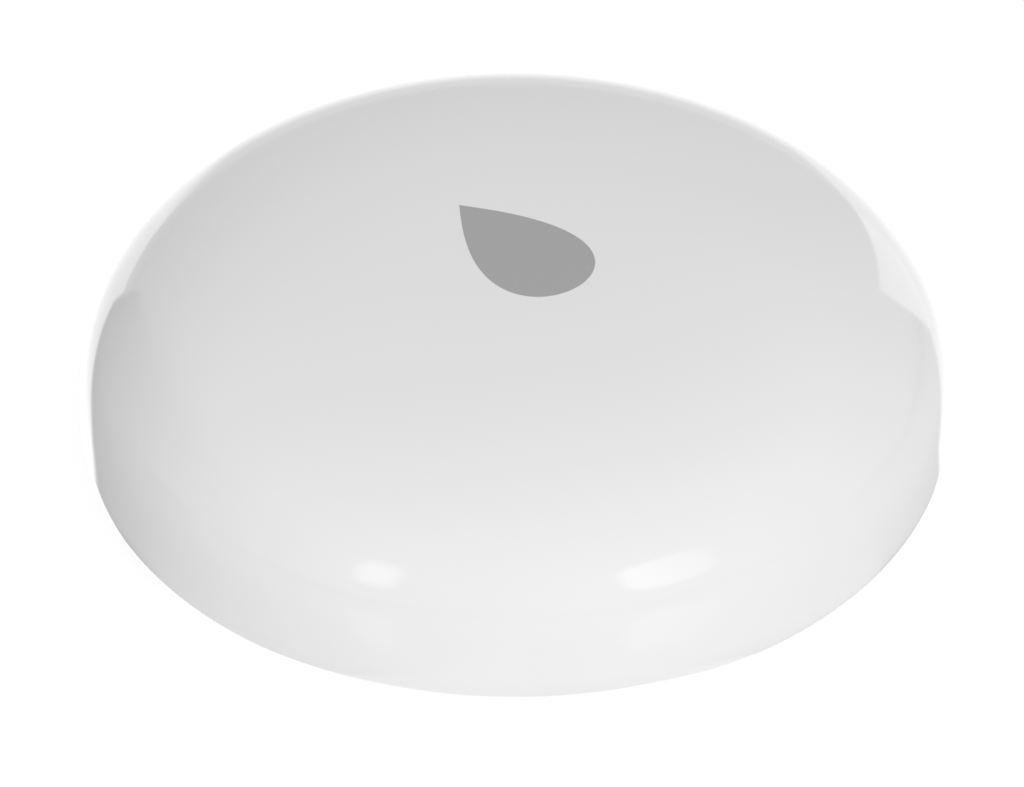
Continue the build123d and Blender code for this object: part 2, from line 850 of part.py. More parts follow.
# Chip resistors in rows
with BuildPart() as chip_resistors:
    with BuildSketch(Plane.XY.offset(board_top_z)):
        with Locations(board_place(resistor_place_share)):
            with GridLocations(chip_pitch_long, chip_pitch_wide, resistor_columns, resistor_rows):
                Rectangle(chip_length, chip_width)
    extrude(amount=resistor_height)
    chamfer(chip_resistors.edges().group_by(Axis.Z)[-1], chip_round)

chip_resistors.part.label = "chip_resistors"
export_step(chip_resistors.part, "parts/chip_resistors.step")

# Chip capacitors in rows
with BuildPart() as chip_capacitors:
    with BuildSketch(Plane.XY.offset(board_top_z)):
        with Locations(board_place(capacitor_place_share)):
            with GridLocations(chip_pitch_long, chip_pitch_wide, capacitor_columns, capacitor_rows):
                Rectangle(chip_length, chip_width)
    extrude(amount=capacitor_height)
    chamfer(chip_capacitors.edges().group_by(Axis.Z)[-1], chip_round)

chip_capacitors.part.label = "chip_capacitors"
export_step(chip_capacitors.part, "parts/chip_capacitors.step")
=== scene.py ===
import math

import bmesh
import bpy
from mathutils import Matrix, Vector


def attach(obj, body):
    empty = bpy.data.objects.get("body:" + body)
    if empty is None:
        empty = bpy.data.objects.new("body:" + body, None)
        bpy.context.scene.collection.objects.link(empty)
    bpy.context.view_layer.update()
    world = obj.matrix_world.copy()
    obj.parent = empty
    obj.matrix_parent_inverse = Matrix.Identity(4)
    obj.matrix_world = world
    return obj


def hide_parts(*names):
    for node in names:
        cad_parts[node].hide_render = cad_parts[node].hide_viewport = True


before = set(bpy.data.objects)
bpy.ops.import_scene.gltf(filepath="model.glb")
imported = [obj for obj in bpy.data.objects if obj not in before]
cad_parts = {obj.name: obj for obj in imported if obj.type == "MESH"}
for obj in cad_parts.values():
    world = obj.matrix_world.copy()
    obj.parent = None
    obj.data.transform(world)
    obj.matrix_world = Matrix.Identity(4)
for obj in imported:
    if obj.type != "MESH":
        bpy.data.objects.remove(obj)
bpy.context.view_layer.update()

# Base shell: the bottom moulding of the sensor, white plastic with a fine spark-eroded texture.
# It snaps into the dome and carries the battery bay, the bosses and the four feet.
MM = 0.001
NOISE_SPAN = (0.3, 0.7)
BASE_WHITE = (0.78, 0.78, 0.785)
TEXTURE_GRAIN = 0.12
TEXTURE_DEPTH = 0.006
TEXTURE_PATCH = 3.0
TEXTURE_TONE = 0.02
TEXTURE_DULL = (0.40, 0.55)


def wire(tree, kind, inputs=None, **settings):
    """Add a node, set its own settings, and link or set its inputs."""
    made = tree.nodes.new(kind)
    for name, value in settings.items():
        setattr(made, name, value)
    for name, value in (inputs or {}).items():
        if isinstance(value, bpy.types.NodeSocket):
            tree.links.new(value, made.inputs[name])
        else:
            made.inputs[name].default_value = value
    return made


def spread(tree, value, span, low, high, kind="LINEAR"):
    """Go from a low level to a high one while a value crosses a span, and hold them at its ends."""
    inputs = {"Value": value, "From Min": span[0], "From Max": span[1], "To Min": low, "To Max": high}
    return wire(tree, "ShaderNodeMapRange", inputs, interpolation_type=kind).outputs["Result"]


def mixed(tree, share, first, second, kind="RGBA"):
    """Blend from one colour or value to another by a share from 0 to 1."""
    inputs = {"Factor": share, "A": first, "B": second}
    return wire(tree, "ShaderNodeMix", inputs, data_type=kind).outputs["Result"]


def new_material(name):
    """Start a material with its shader, and its place on the piece in metres."""
    material = bpy.data.materials.new(name)
    material.use_nodes = True
    tree = material.node_tree
    shader = tree.nodes["Principled BSDF"]
    place = wire(tree, "ShaderNodeTexCoord").outputs["Object"]
    return material, tree, shader, place


def noise(tree, place, size, detail=2.0):
    """Give even noise whose grains are about a size in mm."""
    inputs = {"Vector": place, "Scale": 1 / (size * MM), "Detail": detail}
    return wire(tree, "ShaderNodeTexNoise", inputs).outputs["Fac"]


def tint(tree, shader, colour, share, amount):
    """Colour the shader, a little lighter and darker by a share that runs from 0 to 1."""
    darker = [c * (1 - amount) for c in colour] + [1]
    lighter = [min(c * (1 + amount), 1) for c in colour] + [1]
    tree.links.new(mixed(tree, share, darker, lighter), shader.inputs["Base Color"])


def roughen(tree, shader, grain, low, high):
    """Let the roughness follow a noise, from low to high."""
    tree.links.new(spread(tree, grain, NOISE_SPAN, low, high), shader.inputs["Roughness"])


def relief(tree, shader, height, depth):
    """Raise the surface by a height from 0 to 1, over a depth in mm."""
    bump = wire(tree, "ShaderNodeBump", {"Height": height, "Distance": depth * MM, "Strength": 1.0})
    tree.links.new(bump.outputs["Normal"], shader.inputs["Normal"])


def textured_plastic(name, colour, grain, depth):
    """Moulded plastic from a spark-eroded tool: matt, with fine even grains, in mm."""
    material, tree, shader, place = new_material(name)
    fine = noise(tree, place, grain, detail=3.0)
    tint(tree, shader, colour, noise(tree, place, TEXTURE_PATCH), TEXTURE_TONE)
    roughen(tree, shader, fine, *TEXTURE_DULL)
    relief(tree, shader, fine, depth)
    return material


def finish_node(node, material):
    """Give a CAD node its finish."""
    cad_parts[node].material_slots[0].material = material


base_plastic = textured_plastic("base_textured_white", BASE_WHITE, TEXTURE_GRAIN, TEXTURE_DEPTH)
finish_node("base_shell", base_plastic)

# Probe rings: two silicone rings that keep water out of the holes in the base.
# Each is cut from tube and squeezed between the base and a probe's head.
PROBE_X = 17.15
STUD_R = 1.0
HEAD_R = 2.1
HEAD_TIP = 0.2
HEAD_RISE = 0.4
HEAD_TOP = 0.8
RECESS_Z = 1.5
RING_BORE = 1.02
RING_ROUND = 0.175
RING_BLACK = (0.030, 0.030, 0.032)
RUBBER_GRAIN = 0.08
RUBBER_DEPTH = 0.004
RUBBER_PATCH = 1.5
RUBBER_TONE = 0.15
RUBBER_DULL = (0.6, 0.8)
SHARP_FROM = 35.0


def soften(corners, steps=5):
    """Round the corners of a closed line: each is a radius, a height and a rounding in mm."""
    line = []
    for number, (across, height, rounding) in enumerate(corners):
        here = Vector((across, height))
        if not rounding:
            line.append(tuple(here))
            continue
        before = Vector(corners[number - 1][:2])
        after = Vector(corners[(number + 1) % len(corners)][:2])
        start = here + (before - here).normalized() * rounding
        end = here + (after - here).normalized() * rounding
        for step in range(steps + 1):
            share = step / steps
            line.append(tuple(start * (1 - share) ** 2 + here * 2 * share * (1 - share) + end * share ** 2))
    return line


def as_piece(name, bm, sharp_from=None):
    """Make an object of a built mesh, smooth apart from edges sharper than an angle in degrees."""
    mesh = bpy.data.meshes.new(name)
    bm.to_mesh(mesh)
    bm.free()
    if sharp_from:
        mesh.shade_smooth()
        mesh.set_sharp_from_angle(angle=math.radians(sharp_from))
    piece = bpy.data.objects.new(name, mesh)
    bpy.context.scene.collection.objects.link(piece)
    return piece


def lathe(name, line, steps, centres=((0, 0),)):
    """Turn a closed line of (radius, height) points in mm about upright axes, as one smooth mesh."""
    bm = bmesh.new()
    for x, y in centres:
        rings = []
        for across, height in line:
            ring = []
            for step in range(steps if across else 1):
                turn = 2 * math.pi * step / steps
                place = (x + across * math.cos(turn), y + across * math.sin(turn), height)
                ring.append(bm.verts.new([value * MM for value in place]))
            rings.append(ring)
        for low, high in zip(rings, rings[1:] + rings[:1]):
            for step in range(steps):
                after = (step + 1) % steps
                corners = [
                    low[step % len(low)],
                    low[after % len(low)],
                    high[after % len(high)],
                    high[step % len(high)],
                ]
                corners = list(dict.fromkeys(corners))
                if len(corners) > 2:
                    bm.faces.new(corners)
    bmesh.ops.recalc_face_normals(bm, faces=bm.faces)
    return as_piece(name, bm, SHARP_FROM)


def stand_in(piece, material, node, body="housing"):
    """Let a modelled piece take the place of a CAD node."""
    piece.data.materials.append(material)
    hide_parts(node)
    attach(piece, body)


def rubber(name, colour):
    """Silicone rubber: dull, with a bloom of fine dust."""
    material, tree, shader, place = new_material(name)
    fine = noise(tree, place, RUBBER_GRAIN, detail=4.0)
    tint(tree, shader, colour, noise(tree, place, RUBBER_PATCH), RUBBER_TONE)
    roughen(tree, shader, fine, *RUBBER_DULL)
    relief(tree, shader, fine, RUBBER_DEPTH)
    return material


probe_axes = ((PROBE_X, 0), (-PROBE_X, 0))
ring_line = soften([
    (RING_BORE, HEAD_TOP, 0),
    (HEAD_R, HEAD_TOP, RING_ROUND),
    (HEAD_R, RECESS_Z, RING_ROUND),
    (RING_BORE, RECESS_Z, 0),
])
probe_rings = lathe("probe_rings", ring_line, steps=64, centres=probe_axes)
stand_in(probe_rings, rubber("probe_ring_rubber", RING_BLACK), "probe_seals")

# Probes: two stainless studs with domed heads that touch the water and carry a small current.
# They are turned and polished, and screw up through the base into the posts.
STUD_END = 5.6
STUD_POINT = 0.3
THREAD_START = 3.5
THREAD_PITCH = 0.4
THREAD_DEPTH = 0.12
HEAD_ROUND = 0.08
HEAD_STEPS = 12
PROBE_STEEL = (0.72, 0.71, 0.69)
TURNED_LEAN = 0.7
TURNED_GRAIN = 0.05
TURNED_RINGS = 0.2
TURNED_NOISE = 0.6
TURNED_TONE = 0.06
TURNED_SPREAD = 0.12
TURNED_DEPTH = 0.0015


def calc(tree, operation, *values):
    """Add one step of arithmetic and give its result."""
    return wire(tree, "ShaderNodeMath", dict(enumerate(values)), operation=operation).outputs[0]


def turned_metal(name, colour, centres, pitch, roughness):
    """Metal from a lathe: fine rings, a pitch in mm apart, about the axes that its parts turn on."""
    material, tree, shader, place = new_material(name)
    split = wire(tree, "ShaderNodeSeparateXYZ", {"Vector": place})
    reach = None
    for x, y in centres:
        out = wire(tree, "ShaderNodeCombineXYZ", {
            "X": calc(tree, "SUBTRACT", split.outputs["X"], x * MM),
            "Y": calc(tree, "SUBTRACT", split.outputs["Y"], y * MM),
        }).outputs[0]
        length = wire(tree, "ShaderNodeVectorMath", {0: out}, operation="LENGTH").outputs["Value"]
        reach = length if reach is None else calc(tree, "MINIMUM", reach, length)
    along = calc(tree, "MULTIPLY_ADD", split.outputs["Z"], TURNED_LEAN, reach)
    rings = calc(tree, "SINE", calc(tree, "MULTIPLY", along, 2 * math.pi / (pitch * MM)))
    grain = calc(tree, "MULTIPLY", noise(tree, place, TURNED_GRAIN), TURNED_NOISE)
    share = calc(tree, "MULTIPLY_ADD", rings, TURNED_RINGS, grain)
    tint(tree, shader, colour, share, TURNED_TONE)
    rough = spread(tree, share, (0.0, TURNED_NOISE), roughness, roughness + TURNED_SPREAD)
    tree.links.new(rough, shader.inputs["Roughness"])
    relief(tree, shader, share, TURNED_DEPTH)
    shader.inputs["Metallic"].default_value = 1.0
    return material


probe_line = []
for step in range(HEAD_STEPS + 1):
    share = step / HEAD_STEPS
    probe_line.append((HEAD_R * share, HEAD_TIP + HEAD_RISE * share ** 2))
probe_line += [
    (HEAD_R, HEAD_TOP - HEAD_ROUND),
    (HEAD_R - HEAD_ROUND, HEAD_TOP),
    (STUD_R, HEAD_TOP),
    (STUD_R, THREAD_START),
]
for number in range(int((STUD_END - STUD_POINT - THREAD_START) / THREAD_PITCH)):
    groove_z = THREAD_START + number * THREAD_PITCH
    probe_line += [(STUD_R - THREAD_DEPTH, groove_z + THREAD_PITCH / 2), (STUD_R, groove_z + THREAD_PITCH)]
probe_line += [(STUD_R - STUD_POINT, STUD_END), (0, STUD_END)]
probe_steel = turned_metal("probe_polished_steel", PROBE_STEEL, probe_axes, pitch=0.06, roughness=0.12)
for node, x in (("probe_left", -PROBE_X), ("probe_right", PROBE_X)):
    stud = lathe(node + "_stud", probe_line, steps=64, centres=((x, 0),))
    stand_in(stud, probe_steel, node)

# Probe posts: two turned brass posts, tapped for the probes, that carry their signal upwards.
# They stand on the base and are soldered into the board by their spigots.
POST_R = 1.9
POST_Z = 3.4
BOARD_Z = 7.2
SPIGOT_R = 0.9
SPIGOT_TOP = 8.6
POST_BORE_TOP = 5.9
POST_ROUND = 0.15
POST_BRASS = (0.66, 0.48, 0.20)
post_line = soften([
    (STUD_R, POST_Z, 0),
    (POST_R, POST_Z, POST_ROUND),
    (POST_R, BOARD_Z, POST_ROUND),
    (SPIGOT_R, BOARD_Z, 0),
    (SPIGOT_R, SPIGOT_TOP, POST_ROUND),
    (0, SPIGOT_TOP, 0),
    (0, POST_BORE_TOP, 0),
    (STUD_R, POST_BORE_TOP, 0),
])
post_brass = turned_metal("post_turned_brass", POST_BRASS, probe_axes, pitch=0.12, roughness=0.22)
brass_posts = lathe("brass_posts", post_line, steps=48, centres=probe_axes)
stand_in(brass_posts, post_brass, "probe_posts")

# Battery: a coin cell, its nickel-plated can below and round it, its smaller cap above.
# The can is crimped over a plastic ring round the cap; the cell rests on the cover.
CELL_R = 10.0
CELL_Z = 2.15
CELL_TOP = 5.35
CRIMP_Z = 5.05
CELL_EDGE = 0.35
CAP_R = 8.8
CAP_GAP = 0.12
CAP_GAP_DEPTH = 0.15
CELL_NICKEL = (0.60, 0.59, 0.565)
cell_line = soften([
    (0, CELL_Z, 0),
    (CELL_R, CELL_Z, CELL_EDGE),
    (CELL_R, CRIMP_Z, CELL_EDGE),
    (CAP_R + CAP_GAP, CRIMP_Z, CAP_GAP_DEPTH / 3),
    (CAP_R + CAP_GAP, CRIMP_Z - CAP_GAP_DEPTH, 0),
    (CAP_R, CRIMP_Z - CAP_GAP_DEPTH, 0),
    (CAP_R, CELL_TOP, CAP_GAP_DEPTH),
    (0, CELL_TOP, 0),
])
cell_plate = turned_metal("cell_plated_steel", CELL_NICKEL, ((0, 0),), pitch=0.09, roughness=0.24)
stand_in(lathe("coin_cell", cell_line, steps=128), cell_plate, "battery")

# Contacts: two bent strips on the side of the can and a three-fingered spring on its cap.
# They are stamped from tin-plated spring strip and soldered to the board, as the push
# switch's metal frame and its four terminals are.
CONTACT_TIN = (0.70, 0.68, 0.64)
ROLL_STRETCH = 0.06
ROLL_STREAK = 0.06
ROLL_PATCH = 0.8
ROLL_TONE = 0.08
ROLL_SPREAD = 0.15
ROLL_DEPTH = 0.001


def rolled_metal(name, colour, roughness):
    """Rolled strip: bright, with fine streaks along the roll."""
    material, tree, shader, place = new_material(name)
    long = wire(tree, "ShaderNodeMapping", {"Vector": place, "Scale": (1.0, ROLL_STRETCH, 1.0)}).outputs[0]
    streaks = noise(tree, long, ROLL_STREAK, detail=3.0)
    tint(tree, shader, colour, noise(tree, place, ROLL_PATCH), ROLL_TONE)
    roughen(tree, shader, streaks, roughness, roughness + ROLL_SPREAD)
    relief(tree, shader, streaks, ROLL_DEPTH)
    shader.inputs["Metallic"].default_value = 1.0
    return material


tin_strip = rolled_metal("contact_tinned_strip", CONTACT_TIN, roughness=0.22)
for node in ("positive_clips", "negative_spring", "switch_frame", "switch_terminals"):
    finish_node(node, tin_strip)

# Battery cover: a disc with a coin slot, a neck round the cell and three bayonet lugs.
# It is moulded like the base; a rubber ring in its edge keeps the water out.
COVER_WHITE = (0.77, 0.77, 0.775)
COVER_FACE = 0.5
POINTER_OUT = 11.6
POINTER_IN = 10.2
POINTER_HALF = 0.9
POINTER_RISE = 0.15
POINTER_GRAIN = 0.2
POINTER_DEPTH = 0.003
RAISED_EDGE_SHARES = ((1.0, 0.0), (0.96, 0.7), (0.86, 1.0))
SEAL_IN = 12.05
SEAL_OUT = 12.95
SEAL_LOW = 0.9
SEAL_HIGH = 1.7
SEAL_ROUND = 0.225
SEAL_BLACK = (0.032, 0.032, 0.034)


def raised_shape(name, outline, face, rise):
    """A small raised shape under a face, its edge drawn in: outline and heights in mm."""
    bm = bmesh.new()
    middle = [sum(point[axis] for point in outline) / len(outline) for axis in (0, 1)]
    rings = []
    for reach_share, rise_share in RAISED_EDGE_SHARES:
        ring = []
        for point in outline:
            place = [centre + (value - centre) * reach_share for centre, value in zip(middle, point)]
            ring.append(bm.verts.new([value * MM for value in (*place, face - rise * rise_share)]))
        rings.append(ring)
    for low, high in zip(rings, rings[1:]):
        for step in range(len(outline)):
            after = (step + 1) % len(outline)
            bm.faces.new((low[step], low[after], high[after], high[step]))
    bm.faces.new(rings[-1])
    bm.faces.new(rings[0][::-1])
    bmesh.ops.recalc_face_normals(bm, faces=bm.faces)
    return as_piece(name, bm)


cover_plastic = textured_plastic("cover_textured_white", COVER_WHITE, TEXTURE_GRAIN, TEXTURE_DEPTH)
finish_node("battery_cover", cover_plastic)
seal_line = soften([
    (SEAL_IN, SEAL_LOW, SEAL_ROUND),
    (SEAL_OUT, SEAL_LOW, SEAL_ROUND),
    (SEAL_OUT, SEAL_HIGH, SEAL_ROUND),
    (SEAL_IN, SEAL_HIGH, SEAL_ROUND),
])
cover_ring = lathe("cover_ring", seal_line, steps=128)
stand_in(cover_ring, rubber("cover_ring_rubber", SEAL_BLACK), "cover_seal", "battery_cover")
pointer_outline = [(0.0, -POINTER_OUT), (POINTER_HALF, -POINTER_IN), (-POINTER_HALF, -POINTER_IN)]
pointer = raised_shape("cover_pointer", pointer_outline, COVER_FACE, POINTER_RISE)
pointer.data.materials.append(textured_plastic("pointer_white", COVER_WHITE, POINTER_GRAIN, POINTER_DEPTH))
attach(pointer, "battery_cover")

# Lock dots: two small raised dots on the base, where the cover's pointer stops.
# They are moulded with the base, one at locked and a smaller one at open.
DOT_CIRCLE = 14.3
DOT_R = 0.6
OPEN_DOT_R = 0.42
DOT_STEPS = 32
LOCKED_ANGLE = -90.0
UNLOCK_TURN = 30.0
BASE_FACE = 0.4


def round_outline(x, y, radius, steps):
    """Points of a circle in mm."""
    turns = [2 * math.pi * step / steps for step in range(steps)]
    return [(x + radius * math.cos(turn), y + radius * math.sin(turn)) for turn in turns]


for name, turn, radius in (("dot_locked", 0.0, DOT_R), ("dot_open", UNLOCK_TURN, OPEN_DOT_R)):
    angle = math.radians(LOCKED_ANGLE - turn)
    x, y = DOT_CIRCLE * math.cos(angle), DOT_CIRCLE * math.sin(angle)
    dot = raised_shape(name, round_outline(x, y, radius, DOT_STEPS), BASE_FACE, POINTER_RISE)
    dot.data.materials.append(base_plastic)
    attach(dot, "housing")

# Circuit board: glass-fibre board under a green solder mask, on the three bosses and two posts.
# Under the mask the copper stands up: fields of parallel tracks, solid areas and small through holes.
MASK_GREEN = (0.010, 0.075, 0.030)
COPPER_GREEN = (0.020, 0.135, 0.052)
HOLE_GREEN = (0.10, 0.26, 0.14)
TRACK_PITCH = 0.55
TRACK_SHARE = 0.22
TRACK_EDGE = 0.03
FIELD_SIZE = 3.6
FIELD_JITTER = 0.5
CROSS_FIELDS_FROM = 0.35
SOLID_FIELDS_FROM = 0.65
HOLE_SPACING = 2.4
HOLE_JITTER = 0.8
HOLE_R = 0.16
HOLE_EDGE_SHARES = (0.9, 1.1)
COPPER_RISE = 0.03
WEAVE = 0.25
WEAVE_TONES = (0.75, 1.0)
WEAVE_GLOSS = (0.22, 0.34)


def tracks(tree, across):
    """Parallel copper tracks along a board, from the coordinate across them in metres."""
    # From the middle of a track, 0, to the middle of the gap beside it, a half
    wave = calc(tree, "PINGPONG", calc(tree, "DIVIDE", across, TRACK_PITCH * MM), 0.5)
    return spread(tree, wave, (TRACK_SHARE - TRACK_EDGE, TRACK_SHARE + TRACK_EDGE), 0.0, 1.0)


def cells(tree, place, size, jitter, distance="EUCLIDEAN"):
    """Cells of about a size in mm, set out more or less at random."""
    inputs = {"Vector": place, "Scale": 1 / (size * MM), "Randomness": jitter}
    return wire(tree, "ShaderNodeTexVoronoi", inputs, distance=distance)


def masked_board(name, mask_colour, copper_colour, hole_colour):
    """Solder mask over copper: tracks one way, tracks the other way, or a solid area, by fields."""
    material, tree, shader, place = new_material(name)
    split = wire(tree, "ShaderNodeSeparateXYZ", {"Vector": place})
    fields = cells(tree, place, FIELD_SIZE, FIELD_JITTER, "CHEBYCHEV").outputs["Color"]
    kind = wire(tree, "ShaderNodeSeparateColor", {"Color": fields}).outputs["Red"]
    crossing = calc(tree, "GREATER_THAN", kind, CROSS_FIELDS_FROM)
    solid = calc(tree, "GREATER_THAN", kind, SOLID_FIELDS_FROM)
    one_way, other_way = (tracks(tree, split.outputs[axis]) for axis in "XY")
    lines = mixed(tree, crossing, one_way, other_way, "FLOAT")
    rim = [share * HOLE_R / HOLE_SPACING for share in HOLE_EDGE_SHARES]
    hole = spread(tree, cells(tree, place, HOLE_SPACING, HOLE_JITTER).outputs["Distance"], rim, 1.0, 0.0)
    copper = calc(tree, "MAXIMUM", calc(tree, "MAXIMUM", lines, solid), hole)
    weave = noise(tree, place, WEAVE)
    tone = calc(tree, "MULTIPLY", copper, spread(tree, weave, NOISE_SPAN, *WEAVE_TONES))
    face = mixed(tree, tone, (*mask_colour, 1), (*copper_colour, 1))
    tree.links.new(mixed(tree, hole, face, (*hole_colour, 1)), shader.inputs["Base Color"])
    roughen(tree, shader, weave, *WEAVE_GLOSS)
    relief(tree, shader, copper, COPPER_RISE)
    return material


finish_node("circuit_board", masked_board("board_green_mask", MASK_GREEN, COPPER_GREEN, HOLE_GREEN))

# Board screws: three pan-headed screws that hold the board down on the base's bosses.
# They are cold-headed steel, plated with zinc, and cut their own thread in the plastic.
SCREW_CIRCLE = 16.53
SCREW_ANGLES = (90.0, 210.0, 330.0)
SCREW_ZINC = (0.54, 0.55, 0.57)
screw_axes = []
for turn in map(math.radians, SCREW_ANGLES):
    screw_axes.append((SCREW_CIRCLE * math.cos(turn), SCREW_CIRCLE * math.sin(turn)))
screw_steel = turned_metal("screw_zinc_plated", SCREW_ZINC, screw_axes, pitch=0.15, roughness=0.26)
finish_node("board_screws", screw_steel)

# Push switch: a black heat-proof housing with a natural nylon plunger under its metal frame.
# The button piston above it is milky, so that the light beside the switch shows through the dome.
SWITCH_BLACK = (0.018, 0.018, 0.020)
PLUNGER_NYLON = (0.62, 0.60, 0.54)
PISTON_MILKY = (0.74, 0.77, 0.79)
PISTON_SCATTER_DEPTH = 1.5
PISTON_SCATTER = 0.35
MOULDED_TONE = 0.08
MOULDED_SPREAD = 0.12
MOULDED_FLATNESS = 40


def moulded(name, colour, roughness, grain):
    """Plain moulded plastic or resin with a faint grain, its size in mm."""
    material, tree, shader, place = new_material(name)
    fine = noise(tree, place, grain, detail=3.0)
    tint(tree, shader, colour, fine, MOULDED_TONE)
    roughen(tree, shader, fine, roughness, roughness + MOULDED_SPREAD)
    relief(tree, shader, fine, grain / MOULDED_FLATNESS)
    return material


finish_node("tact_switch", moulded("switch_black_nylon", SWITCH_BLACK, roughness=0.42, grain=0.10))
finish_node("switch_plunger", moulded("plunger_natural_nylon", PLUNGER_NYLON, roughness=0.35, grain=0.15))
piston_plastic = moulded("piston_milky_plastic", PISTON_MILKY, roughness=0.24, grain=0.04)
piston_shader = piston_plastic.node_tree.nodes["Principled BSDF"]
piston_shader.inputs["Subsurface Weight"].default_value = PISTON_SCATTER
piston_shader.inputs["Subsurface Scale"].default_value = PISTON_SCATTER_DEPTH * MM
finish_node("button_piston", piston_plastic)

# Soldered parts: the chips, the crystal in its can, the antenna, the capacitors and resistors.
# The chips are moulded in resin; resistors and capacitors have tinned ends over a ceramic body.
CHIP_PITCH = 2.6
CHIP_HALF = 0.8
CHIP_END = 0.3
END_EDGE = 0.02
RESISTORS_X = 8.55
CAPACITORS_X = -4.56
END_TIN = (0.70, 0.69, 0.66)
CERAMIC_GRAIN = 0.06
CERAMIC_SPREAD = 0.15
CERAMIC_DEPTH = 0.002
CHIP_BLACK = (0.020, 0.020, 0.022)
CRYSTAL_TIN = (0.62, 0.62, 0.61)
BULK_ORANGE = (0.56, 0.24, 0.03)
ANTENNA_PALE = (0.66, 0.66, 0.61)
RESISTOR_BLACK = (0.022, 0.022, 0.026)
CAPACITOR_TAN = (0.30, 0.19, 0.10)
LIGHT_YELLOW = (0.78, 0.66, 0.22)
LIGHT_CLEAR = 0.3


def tinned_ends(name, colour, middle_x, roughness):
    """A row of ceramic chips, told apart by their pitch, each with bright tinned ends."""
    material, tree, shader, place = new_material(name)
    across = wire(tree, "ShaderNodeSeparateXYZ", {"Vector": place}).outputs["X"]
    # Each chip has its own stretch of the row, from 0 to 1, with its middle at a half
    turn = calc(tree, "MULTIPLY_ADD", across, 1 / (CHIP_PITCH * MM), 0.5 - middle_x / CHIP_PITCH)
    local = calc(tree, "SUBTRACT", calc(tree, "FRACT", turn), 0.5)
    reach = calc(tree, "MULTIPLY", calc(tree, "ABSOLUTE", local), CHIP_PITCH)
    body_half = CHIP_HALF - CHIP_END
    end = spread(tree, reach, (body_half - END_EDGE, body_half + END_EDGE), 0.0, 1.0)
    fine = noise(tree, place, CERAMIC_GRAIN, detail=3.0)
    tree.links.new(mixed(tree, end, (*colour, 1), (*END_TIN, 1)), shader.inputs["Base Color"])
    tree.links.new(end, shader.inputs["Metallic"])
    roughen(tree, shader, fine, roughness, roughness + CERAMIC_SPREAD)
    relief(tree, shader, fine, CERAMIC_DEPTH)
    return material


chip_black = moulded("chip_black_resin", CHIP_BLACK, roughness=0.50, grain=0.05)
finish_node("radio_chip", chip_black)
finish_node("memory_chip", chip_black)
finish_node("crystal_can", rolled_metal("crystal_plain_can", CRYSTAL_TIN, roughness=0.25))
finish_node("bulk_capacitor", moulded("bulk_orange_resin", BULK_ORANGE, roughness=0.38, grain=0.12))
finish_node("chip_antenna", moulded("antenna_pale_ceramic", ANTENNA_PALE, roughness=0.45, grain=0.08))
resistor_film = tinned_ends("resistor_black_film", RESISTOR_BLACK, RESISTORS_X, roughness=0.30)
finish_node("chip_resistors", resistor_film)
capacitor_ceramic = tinned_ends("capacitor_tan_ceramic", CAPACITOR_TAN, CAPACITORS_X, roughness=0.40)
finish_node("chip_capacitors", capacitor_ceramic)
light_resin = moulded("light_yellow_resin", LIGHT_YELLOW, roughness=0.12, grain=0.20)
light_resin.node_tree.nodes["Principled BSDF"].inputs["Transmission Weight"].default_value = LIGHT_CLEAR
finish_node("status_led", light_resin)

# Shell gasket: a rubber ring in the base's rim, squeezed by the dome's lip.
# It is moulded in silicone and keeps water out of the seam between the two shells.
GASKET_IN = 21.3
GASKET_OUT = 22.2
GASKET_LOW = 0.75
GASKET_HIGH = 1.55
GASKET_ROUND = 0.225
GASKET_BLACK = (0.030, 0.030, 0.032)
gasket_line = soften([
    (GASKET_IN, GASKET_LOW, GASKET_ROUND),
    (GASKET_OUT, GASKET_LOW, GASKET_ROUND),
    (GASKET_OUT, GASKET_HIGH, GASKET_ROUND),
    (GASKET_IN, GASKET_HIGH, GASKET_ROUND),
])
shell_ring = lathe("shell_ring", gasket_line, steps=160)
stand_in(shell_ring, rubber("gasket_rubber", GASKET_BLACK), "shell_gasket")

# Dome shell: one glossy white moulding from the lip under the body up over the crown.
# It is injection moulded in a polished tool and snaps over the base's rim.
BODY_R = 25.0
LIP_R = 22.2
BODY_TOP = 15.0
EQUATOR = 3.5
LIP_Z = 0.4
LEDGE_Z = 2.7
TURN_IN = 2.5
WALL = 1.8
CROWN_POWER = 2.85
PRESS_R = 6.2
SLEEVE_R = 7.4
SLEEVE_Z = 11.65
MEMBRANE_Z = 14.3
SEAM_CHAMFER = 0.2
PRINT_SINK = 0.012
TURN_STEPS = 16
CROWN_STEPS = 120
CEILING_STEPS = 40
DOME_WHITE = (0.80, 0.80, 0.802)
FLOW_PATCH = 9.0
FLOW_TONE = 0.006
FLOW_WAVE = 2.5
FLOW_DEPTH = 0.0006
POLISH = (0.050, 0.070)
PLASTIC_IOR = 1.5


def crown_line(rim, rise, steps, inner_r=0.0):
    """Points of a crown line in mm, from the equator up to a radius."""
    last = math.acos((inner_r / rim) ** (CROWN_POWER / 2))
    points = []
    for step in range(steps + 1):
        angle = last * step / steps
        across = rim * max(math.cos(angle), 0) ** (2 / CROWN_POWER)
        points.append((across, EQUATOR + rise * math.sin(angle) ** (2 / CROWN_POWER)))
    points[-1] = (inner_r, points[-1][1])
    return points


def gloss_plastic(name, colour):
    """Polished plastic: glossy, with a trace of the flow and cooling of the moulding."""
    material, tree, shader, place = new_material(name)
    tint(tree, shader, colour, noise(tree, place, FLOW_PATCH), FLOW_TONE)
    slow = noise(tree, place, FLOW_WAVE)
    roughen(tree, shader, slow, *POLISH)
    relief(tree, shader, slow, FLOW_DEPTH)
    shader.inputs["IOR"].default_value = PLASTIC_IOR
    return material


